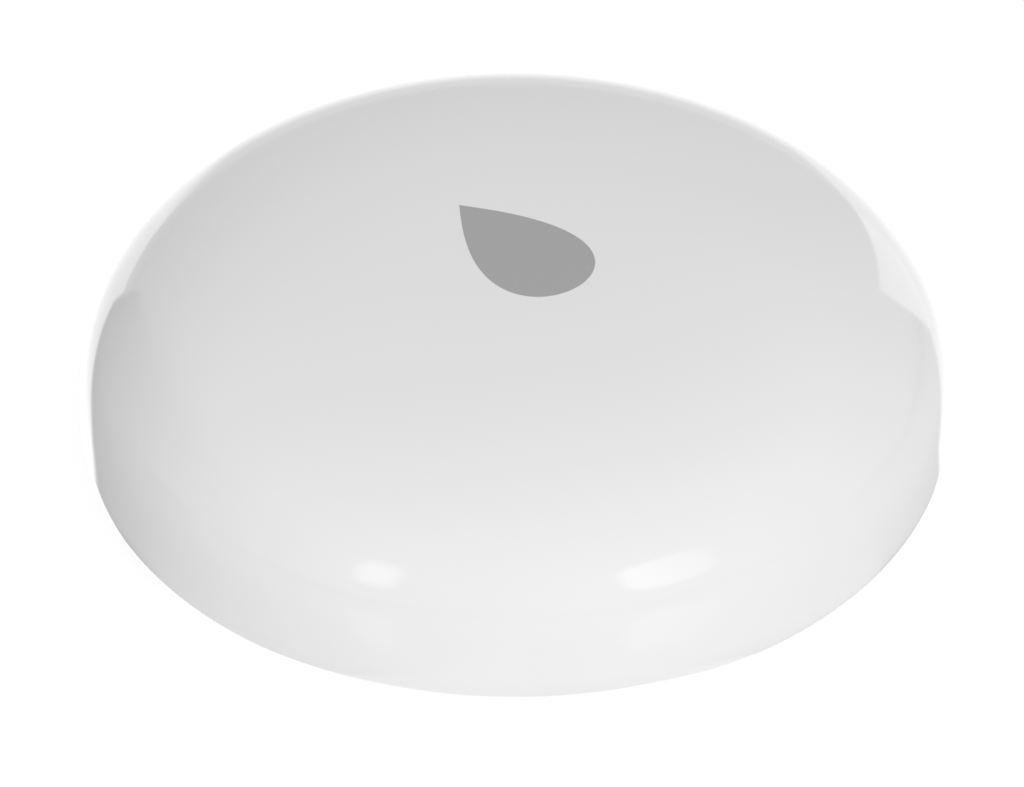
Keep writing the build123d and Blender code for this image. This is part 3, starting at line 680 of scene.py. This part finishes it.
lower_turn = []
for step in range(TURN_STEPS + 1):
    angle = math.radians(90 * step / TURN_STEPS - 90)
    lower_turn.append((
        BODY_R - TURN_IN + TURN_IN * math.cos(angle),
        EQUATOR + (EQUATOR - LIP_Z) * math.sin(angle),
    ))
crown = crown_line(BODY_R, BODY_TOP - PRINT_SINK - EQUATOR, CROWN_STEPS)
ceiling = crown_line(BODY_R - WALL, BODY_TOP - WALL - EQUATOR, CEILING_STEPS, SLEEVE_R)
dome_line = lower_turn + crown[1:] + [
    (0, MEMBRANE_Z),
    (PRESS_R, MEMBRANE_Z),
    (PRESS_R, SLEEVE_Z),
    (SLEEVE_R, SLEEVE_Z),
] + ceiling[::-1] + [
    (BODY_R - WALL, LEDGE_Z),
    (LIP_R, LEDGE_Z),
    (LIP_R, LIP_Z + SEAM_CHAMFER),
    (LIP_R + SEAM_CHAMFER, LIP_Z),
]
dome = lathe("dome", dome_line, steps=192)
stand_in(dome, gloss_plastic("dome_gloss_white", DOME_WHITE), "dome_shell")

# Printed drop: grey ink, pad printed on the press area in the middle of the crown.
# A plain water drop, its tip to the rear left.
DROP_LENGTH = 10.2
DROP_WIDTH = 6.4
DROP_TILT = 130.0
DROP_TIP = (-3.22, 3.7)
DROP_TAPER = 1.1
DROP_ROWS = 64
DROP_COLUMNS = 24
WIDEST_STEPS = 400
DROP_SHARP_FROM = 60.0
WELD = 0.0001
INK_THICKNESS = 0.010
INK_GREY = (0.36, 0.36, 0.36)
INK_GRAIN = 0.15
INK_TONE = 0.05
INK_PATCH = 0.3
INK_GLOSS = (0.16, 0.24)


def crown_height(across):
    """Height of the visual crown at a radius, in mm."""
    rise = BODY_TOP - PRINT_SINK - EQUATOR
    return EQUATOR + rise * (1 - (across / BODY_R) ** CROWN_POWER) ** (1 / CROWN_POWER)


def drop_half_width(turn):
    """Half width of the drop at a turn from its tip, 0, to its round end, pi."""
    return math.sin(turn) * math.sin(turn / 2) ** DROP_TAPER


def print_on_crown(name, rows, columns):
    """Make the drop as a thin skin of ink that lies on the crown."""
    widest = max(drop_half_width(math.pi * step / WIDEST_STEPS) for step in range(WIDEST_STEPS + 1))
    turn = math.radians(DROP_TILT)
    bm = bmesh.new()
    layers = []
    for lift in (0.0, INK_THICKNESS):
        grid = []
        for row in range(rows + 1):
            forward = -DROP_LENGTH * (0.5 - 0.5 * math.cos(math.pi * row / rows))
            half = drop_half_width(math.pi * row / rows) / widest * DROP_WIDTH / 2
            line = []
            for column in range(columns + 1):
                side = half * (2 * column / columns - 1)
                x = DROP_TIP[0] + forward * math.cos(turn) - side * math.sin(turn)
                y = DROP_TIP[1] + forward * math.sin(turn) + side * math.cos(turn)
                height = crown_height(math.hypot(x, y)) + lift
                line.append(bm.verts.new((x * MM, y * MM, height * MM)))
            grid.append(line)
        layers.append(grid)
    for grid in layers:
        for here, ahead in zip(grid, grid[1:]):
            for column in range(columns):
                bm.faces.new((here[column], here[column + 1], ahead[column + 1], ahead[column]))
    low, high = layers
    for column in (0, columns):
        for row in range(rows):
            bm.faces.new((low[row][column], low[row + 1][column], high[row + 1][column], high[row][column]))
    bmesh.ops.remove_doubles(bm, verts=bm.verts, dist=WELD * MM)
    bmesh.ops.recalc_face_normals(bm, faces=bm.faces)
    return as_piece(name, bm, DROP_SHARP_FROM)


def ink(name, colour):
    """Pad-printing ink: an even tone with a faint grain."""
    material, tree, shader, place = new_material(name)
    tint(tree, shader, colour, noise(tree, place, INK_GRAIN, detail=3.0), INK_TONE)
    roughen(tree, shader, noise(tree, place, INK_PATCH), *INK_GLOSS)
    return material


drop = print_on_crown("printed_drop", DROP_ROWS, DROP_COLUMNS)
drop.data.materials.append(ink("drop_grey_ink", INK_GREY))
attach(drop, "housing")

# Floor: the studio's white sheet, lit so evenly that it shows no shadow; it is clear from below.
# The dome's gloss sees more of it, a painted reflection that glows: a painted lit strip behind, painted
# darker sides, and a painted bright line by the rim.
# Places are in mm from the sensor's middle, y towards the back, and slants are x over y.
FLOOR_HALF = 3000.0
# What the camera sees, the sheen for the gloss, and the hole that it has under the sensor
FLOOR_GREY = 0.35
FLOOR_LIGHT = 0.76
SHEEN_GREY = 0.28
SHEEN_ROUGHNESS = 0.07
OPEN_REACH = (21.0, 22.2)
# Where the two front quarters fade in
RIGHT_FRONT_Y = (-5.0, 0.0)
LEFT_FRONT_Y = (-18.0, -11.0)
# The painted lit strip: half its width beside the sensor, what it gains to the back, and what each side
# adds
STRIP_LIGHT = 1.5
STRIP_HALF = 28.5
STRIP_SLOPE = 0.618
STRIP_MORE_LEFT = (-0.3, 1.0)
STRIP_MORE_LEFT_Y = (-4.0, 4.0)
STRIP_MORE_LEFT_FRONT = -4.0
STRIP_MORE_RIGHT_FRONT = -2.4
WIDE_HALF = 22.5
WIDE_SLOPE = 0.71
WIDE_SLOPE_MORE_RIGHT = 0.12
STRIP_LEAST = 0.5
STRIP_EDGE_SHARES = (0.97, 1.03)
# The painted light on the floor under the rim
UNDER_EDGE = (23.8, 25.0)
UNDER_LESS_RIGHT_FRONT = 0.6
UNDER_LESS_LEFT_FRONT = 0.1
# The painted sides, from left to right, dimmer near the sensor by painted shade but for its front, with a
# painted glow at the left front
SIDE_X = (-20.0, 20.0)
SIDE_LIGHTS = (0.14, 0.75)
NEAR_REACH = (26.0, 36.0)
NEAR_SHARE = 0.6
RIM_FRONT_Y = (-14.0, -8.0)
LEFT_GLOW = 0.32
LEFT_GLOW_REACH = (25.5, 29.0)
# The front, and the floor further away, both painted into the glow
FRONT_Y = (-34.0, -8.0)
FRONT_LIGHTS = (1.25, 0.88)
FAR_REACH = (25.0, 150.0)
FAR_SHARE = 0.56
SLANT_LEAST_Y = 1.0
CARD_SLANT = (0.30, 0.42)
CARD_SHARE = 0.86
LEFT_SLANT = (-0.55, -0.15)
LEFT_SHARE = 1.08
LOW_RIGHT_SLANT = (0.7, 1.3)
LOW_RIGHT_SHARE = 0.87
# The painted bright line along the rim, and what it loses beside the front
RIM_LINE = (24.7, 25.0)
RIM_LIGHT = 2.6
RIM_LESS = 0.7
RIM_LESS_MORE_RIGHT = 0.6
RIM_LESS_Y = (-23.5, -18.5)


def ease(tree, value, span, low, high):
    """Go softly from a low level to a high one while a value crosses a span."""
    return spread(tree, value, span, low, high, "SMOOTHSTEP")


def product(tree, first, *others):
    """Multiply values with each other."""
    for value in others:
        first = calc(tree, "MULTIPLY", first, value)
    return first


def plus(tree, base, value, times=1.0):
    """Add a value to a base, a number of times."""
    return calc(tree, "MULTIPLY_ADD", value, times, base)


def painted_floor_reflection(tree, x, y, reach):
    """How bright the floor's painted reflection glows in the dome's gloss, at a place and its reach from
    the middle.
    """
    right = calc(tree, "GREATER_THAN", x, 0.0)
    left = calc(tree, "SUBTRACT", 1.0, right)
    right_front = product(tree, right, spread(tree, y, RIGHT_FRONT_Y, 1.0, 0.0))
    left_front = product(tree, left, spread(tree, y, LEFT_FRONT_Y, 1.0, 0.0))
    # The painted lit strip, which widens to the back, and the painted light on the floor under the rim
    half = plus(tree, STRIP_HALF, left, spread(tree, y, STRIP_MORE_LEFT_Y, *STRIP_MORE_LEFT))
    half = plus(tree, half, right_front, STRIP_MORE_RIGHT_FRONT)
    half = plus(tree, half, left_front, STRIP_MORE_LEFT_FRONT)
    half = plus(tree, half, y, STRIP_SLOPE)
    wide = plus(tree, WIDE_HALF, y, plus(tree, WIDE_SLOPE, right, WIDE_SLOPE_MORE_RIGHT))
    edge = calc(tree, "MAXIMUM", calc(tree, "MAXIMUM", half, wide), STRIP_LEAST)
    out = calc(tree, "DIVIDE", calc(tree, "ABSOLUTE", x), edge)
    under = plus(tree, reach, right_front, UNDER_LESS_RIGHT_FRONT)
    under = plus(tree, under, left_front, UNDER_LESS_LEFT_FRONT)
    strip = calc(
        tree, "MAXIMUM",
        ease(tree, out, STRIP_EDGE_SHARES, 1.0, 0.0),
        ease(tree, under, UNDER_EDGE, 1.0, 0.0),
    )
    # The sides: painted darker at the left, with painted shade near the sensor and a painted glow at the
    # left front
    near = ease(tree, reach, NEAR_REACH, NEAR_SHARE, 1.0)
    at_front = ease(tree, y, RIM_FRONT_Y, 1.0, 0.0)
    side = product(tree, ease(tree, x, SIDE_X, *SIDE_LIGHTS), calc(tree, "MAXIMUM", near, at_front))
    side = plus(tree, side, left_front, spread(tree, reach, LEFT_GLOW_REACH, LEFT_GLOW, 0.0))
    level = mixed(tree, strip, side, STRIP_LIGHT, "FLOAT")
    # The painted front, and what is painted further away
    front_level = spread(tree, reach, NEAR_REACH, *FRONT_LIGHTS)
    level = mixed(tree, ease(tree, y, FRONT_Y, 1.0, 0.0), level, front_level, "FLOAT")
    slant = calc(tree, "DIVIDE", x, calc(tree, "MAXIMUM", y, SLANT_LEAST_Y))
    aside = calc(
        tree, "MAXIMUM",
        ease(tree, slant, CARD_SLANT, 0.0, CARD_SHARE),
        ease(tree, slant, LEFT_SLANT, LEFT_SHARE, 0.0),
    )
    far = calc(tree, "MAXIMUM", ease(tree, reach, FAR_REACH, 1.0, FAR_SHARE), product(tree, aside, strip))
    level = product(tree, level, far, ease(tree, slant, LOW_RIGHT_SLANT, 1.0, LOW_RIGHT_SHARE))
    # The painted bright line along the rim at the front, thinner to its sides
    less = plus(tree, RIM_LESS, right, RIM_LESS_MORE_RIGHT)
    from_rim = plus(tree, reach, product(tree, spread(tree, y, RIM_LESS_Y, 0.0, 1.0), less))
    line = product(tree, ease(tree, from_rim, RIM_LINE, RIM_LIGHT, 0.0), at_front)
    return calc(tree, "MAXIMUM", level, line)


def floor_white(name):
    """White sheet for the camera, a painted reflection that glows for the gloss, and nothing from below."""
    material, tree, shader, place = new_material(name)
    tree.nodes.remove(shader)
    in_mm = {"Vector": place, "Scale": 1 / MM}
    spot = wire(tree, "ShaderNodeVectorMath", in_mm, operation="SCALE").outputs[0]
    reach = wire(tree, "ShaderNodeVectorMath", {0: spot}, operation="LENGTH").outputs["Value"]
    split = wire(tree, "ShaderNodeSeparateXYZ", {"Vector": spot})
    gloss_level = painted_floor_reflection(tree, split.outputs["X"], split.outputs["Y"], reach)
    # The painted reflection: a glow on the floor that only the dome's gloss sees
    picture = wire(tree, "ShaderNodeEmission", {"Strength": gloss_level}).outputs[0]
    sheen = wire(tree, "ShaderNodeBsdfGlossy", {
        "Roughness": SHEEN_ROUGHNESS, "Color": (SHEEN_GREY, SHEEN_GREY, SHEEN_GREY, 1),
    }).outputs[0]
    mirrored = wire(tree, "ShaderNodeAddShader", {0: picture, 1: sheen}).outputs[0]
    clear = wire(tree, "ShaderNodeBsdfTransparent").outputs[0]
    inside = ease(tree, reach, OPEN_REACH, 1.0, 0.0)
    mirrored = wire(tree, "ShaderNodeMixShader", {0: inside, 1: mirrored, 2: clear}).outputs[0]
    grey = (FLOOR_GREY, FLOOR_GREY, FLOOR_GREY, 1)
    plain = wire(tree, "ShaderNodeBsdfDiffuse", {"Color": grey}).outputs[0]
    lit = wire(tree, "ShaderNodeEmission", {"Strength": FLOOR_LIGHT}).outputs[0]
    seen = wire(tree, "ShaderNodeAddShader", {0: plain, 1: lit}).outputs[0]
    for_gloss = wire(tree, "ShaderNodeLightPath").outputs["Is Glossy Ray"]
    above = wire(tree, "ShaderNodeMixShader", {0: for_gloss, 1: seen, 2: mirrored}).outputs[0]
    from_below = wire(tree, "ShaderNodeNewGeometry").outputs["Backfacing"]
    both = wire(tree, "ShaderNodeMixShader", {0: from_below, 1: above, 2: clear}).outputs[0]
    tree.links.new(both, tree.nodes["Material Output"].inputs["Surface"])
    return material


def flat_panel(name, half):
    """A square of one face, from half its width in metres."""
    bm = bmesh.new()
    bmesh.ops.create_grid(bm, x_segments=1, y_segments=1, size=half)
    return as_piece(name, bm)


floor = flat_panel("floor", FLOOR_HALF * MM)
floor.visible_diffuse = False
floor.visible_shadow = False
floor.data.materials.append(floor_white("floor_white"))

# Soft boxes: two lit panels in front of the sensor, the small one at the left, the wide one at the right.
# They make the highlights low on the dome, and aren't seen themselves.
BOX_DISTANCE = 600.0
BOX_RISE = 22.2
BOX_ROUNDING = 3.0
BOX_HALF = 0.5


def soft_box(name, azimuth, width, height, strength, core, lean):
    """A panel, in mm, that fades from its core outwards and by its lean to one side."""
    turn = math.radians(azimuth)
    lift = math.radians(BOX_RISE)
    outward = Vector((math.sin(turn) * math.cos(lift), math.cos(turn) * math.cos(lift), math.sin(lift)))
    piece = flat_panel(name, BOX_HALF)
    piece.location = outward * BOX_DISTANCE * MM
    piece.rotation_mode = "QUATERNION"
    piece.rotation_quaternion = outward.to_track_quat("Z", "Y")
    piece.scale = (width * MM, height * MM, 1)
    piece.visible_camera = False
    material, tree, shader, place = new_material(name + "_light")
    tree.nodes.remove(shader)
    split = wire(tree, "ShaderNodeSeparateXYZ", {"Vector": place})
    outs = [calc(tree, "POWER", calc(tree, "ABSOLUTE", split.outputs[axis]), BOX_ROUNDING) for axis in "XY"]
    reach = calc(tree, "POWER", calc(tree, "ADD", *outs), 1 / BOX_ROUNDING)
    fade = ease(tree, reach, (core, BOX_HALF), 1.0, 0.0)
    level = product(tree, fade, plus(tree, 1.0, split.outputs["X"], lean), strength)
    glow = wire(tree, "ShaderNodeEmission", {"Strength": level}).outputs[0]
    clear = wire(tree, "ShaderNodeBsdfTransparent").outputs[0]
    both = wire(tree, "ShaderNodeAddShader", {0: glow, 1: clear}).outputs[0]
    tree.links.new(both, tree.nodes["Material Output"].inputs["Surface"])
    piece.data.materials.append(material)


soft_box("soft_box_left", azimuth=-145.3, width=150, height=310, strength=2.1, core=0.18, lean=0.0)
soft_box("soft_box_right", azimuth=141.4, width=285, height=300, strength=1.5, core=0.34, lean=-1.2)

# Surround: the white walls and ceiling, the backdrop behind the sensor and a bright card beside it.
# Its light on the pieces has a level, and what that gains to the right, the back and the top; the
# gloss sees the studio itself. Azimuths, from the back to the right, and rises are in degrees.
AIR_LIGHT = 0.703
AIR_LEAN = (0.14, -0.405, 0.175)
# The ceiling, and the side behind the camera, brighter at its left
CEILING_RISE = (22.0, 46.0)
CEILING_LIGHTS = (0.86, 1.18)
NEAR_TURN = (90.0, 140.0)
NEAR_RISE = (10.0, 60.0)
NEAR_LIGHTS = (0.90, 1.05)
NEAR_LEFT = (-0.7, -0.1)
NEAR_LEFT_LIGHT = 0.35
# The backdrop, and the gap at each side of it
BACKDROP_LIGHT = 0.95
BACKDROP_LEFT = (-36.2, -35.2)
BACKDROP_RIGHT = (36.5, 37.5)
BACKDROP_RISE = (-2.0, 3.0)
LEFT_GAP_END = (-100.0, -50.0)
LEFT_GAP_RISE = (12.0, 48.0)
LEFT_GAP_BEND_FROM = 11.0
LEFT_GAP_BEND = -1.2
RIGHT_GAP_END = (45.0, 80.0)
RIGHT_GAP_RISE = (-20.0, 22.0)
# The soft shade between the left gap and the middle, and in the right gap
SOFT_SHADE = -0.38
VEIL_LEFT = (-90.0, -60.0)
VEIL_RIGHT = (-36.0, -4.0)
VEIL_LOW = (1.0, 7.0)
VEIL_HIGH = (16.0, 48.0)
# The bright card, with a leaning near edge and a bent far edge
CARD_LIGHT = 1.9
CARD_NEAR = (20.8, 22.6)
CARD_NEAR_LEAN = -0.81
CARD_FAR = (38.4, 39.6)
CARD_FAR_BEND_FROM = 3.0
CARD_FAR_BEND = 0.024
# What lies below the floor's edge
BELOW_RISE = (-70.0, -12.0)
BELOW_SHARE = 0.25


def past(tree, value, start):
    """How far a value is past its start, or 0."""
    return calc(tree, "MAXIMUM", calc(tree, "SUBTRACT", value, start), 0.0)


def surround_in_gloss(tree, x, azimuth, rise):
    """How bright the surround is in the dome's gloss, in a direction."""
    # The open studio: the ceiling, and the side behind the camera
    ceiling_light = ease(tree, rise, CEILING_RISE, *CEILING_LIGHTS)
    near_light = calc(
        tree, "ADD",
        spread(tree, rise, NEAR_RISE, *NEAR_LIGHTS),
        spread(tree, x, NEAR_LEFT, NEAR_LEFT_LIGHT, 0.0),
    )
    near = ease(tree, calc(tree, "ABSOLUTE", azimuth), NEAR_TURN, 0.0, 1.0)
    level = mixed(tree, near, ceiling_light, near_light, "FLOAT")
    # The gaps beside the backdrop, and a soft veil of shade over the left one
    gap_start = plus(tree, BACKDROP_LEFT[0], past(tree, rise, LEFT_GAP_BEND_FROM), LEFT_GAP_BEND)
    left_gap = product(
        tree,
        ease(tree, azimuth, LEFT_GAP_END, 0.0, 1.0),
        ease(tree, azimuth, (gap_start, BACKDROP_LEFT[1]), 1.0, 0.0),
        ease(tree, rise, LEFT_GAP_RISE, 1.0, 0.0),
    )
    right_gap = product(
        tree,
        ease(tree, azimuth, BACKDROP_RIGHT, 0.0, 1.0),
        ease(tree, azimuth, RIGHT_GAP_END, 1.0, 0.0),
        ease(tree, rise, RIGHT_GAP_RISE, 1.0, 0.0),
    )
    open_left = calc(tree, "SUBTRACT", 1.0, left_gap)
    veil = product(
        tree,
        ease(tree, azimuth, VEIL_RIGHT, 1.0, 0.0),
        open_left,
        ease(tree, azimuth, VEIL_LEFT, 0.0, 1.0),
        ease(tree, rise, VEIL_LOW, 0.0, 1.0),
        ease(tree, rise, VEIL_HIGH, 1.0, 0.0),
    )
    shade = plus(tree, plus(tree, open_left, veil, SOFT_SHADE), right_gap, SOFT_SHADE)
    # The backdrop, the card with its leaning edges, and the dark below
    backdrop = product(
        tree,
        ease(tree, azimuth, BACKDROP_LEFT, 0.0, 1.0),
        ease(tree, azimuth, BACKDROP_RIGHT, 1.0, 0.0),
        ease(tree, rise, BACKDROP_RISE, 1.0, 0.0),
    )
    level = mixed(tree, backdrop, product(tree, level, shade), BACKDROP_LIGHT, "FLOAT")
    above = past(tree, rise, CARD_FAR_BEND_FROM)
    card = product(
        tree,
        ease(tree, plus(tree, azimuth, rise, CARD_NEAR_LEAN), CARD_NEAR, 0.0, 1.0),
        ease(tree, plus(tree, azimuth, product(tree, above, above), CARD_FAR_BEND), CARD_FAR, 1.0, 0.0),
    )
    level = mixed(tree, card, level, CARD_LIGHT, "FLOAT")
    return product(tree, level, ease(tree, rise, BELOW_RISE, BELOW_SHARE, 1.0))


def surround(name):
    """Light from all round for the pieces, another picture for the gloss, plain white for the camera."""
    world = bpy.data.worlds.new(name)
    world.use_nodes = True
    tree = world.node_tree
    place = wire(tree, "ShaderNodeTexCoord").outputs["Generated"]
    split = wire(tree, "ShaderNodeSeparateXYZ", {"Vector": place})
    x, y, z = (split.outputs[axis] for axis in "XYZ")
    level = AIR_LIGHT
    for way, lean in zip((x, y, z), AIR_LEAN):
        level = plus(tree, level, way, lean)
    azimuth = calc(tree, "DEGREES", calc(tree, "ARCTAN2", x, y))
    rise = calc(tree, "DEGREES", calc(tree, "ARCSINE", z))
    path = wire(tree, "ShaderNodeLightPath")
    gloss_level = surround_in_gloss(tree, x, azimuth, rise)
    level = mixed(tree, path.outputs["Is Glossy Ray"], level, gloss_level, "FLOAT")
    level = mixed(tree, path.outputs["Is Camera Ray"], level, 1.0, "FLOAT")
    background = tree.nodes["Background"]
    background.inputs["Color"].default_value = (1, 1, 1, 1)
    tree.links.new(level, background.inputs["Strength"])
    return world


bpy.context.scene.world = surround("studio")

# Camera: a long lens, from in front and above, at the scale of the picture.
# It aims at the middle of the sensor, which stands a little off the picture's middle.
CAMERA_DISTANCE = 600.0
CAMERA_RISE = 37.75
CAMERA_AIM = (0.0, 0.0, 7.5)
FRAME_OFFSET = (-0.195, -2.61)
PIXELS_PER_MM = 17.46
IMAGE_WIDTH = 1024
SENSOR = 36.0
CLIP_NEAR = 50.0
CLIP_FAR = 20000.0
rise = math.radians(CAMERA_RISE)
up = Vector((0, math.sin(rise), math.cos(rise)))
back = Vector((0, -math.cos(rise), math.sin(rise)))
middle = Vector(CAMERA_AIM)
aim = middle + Vector((FRAME_OFFSET[0], 0, 0)) + up * FRAME_OFFSET[1]
stand = middle + back * CAMERA_DISTANCE
camera = bpy.data.objects.new("camera", bpy.data.cameras.new("camera"))
bpy.context.scene.collection.objects.link(camera)
camera.location = stand * MM
camera.rotation_mode = "QUATERNION"
camera.rotation_quaternion = (aim - stand).to_track_quat("-Z", "Y")
camera.data.sensor_width = SENSOR
camera.data.lens = PIXELS_PER_MM * CAMERA_DISTANCE * SENSOR / IMAGE_WIDTH
camera.data.clip_start = CLIP_NEAR * MM
camera.data.clip_end = CLIP_FAR * MM
bpy.context.scene.camera = camera
bpy.context.scene.view_settings.view_transform = "Standard"
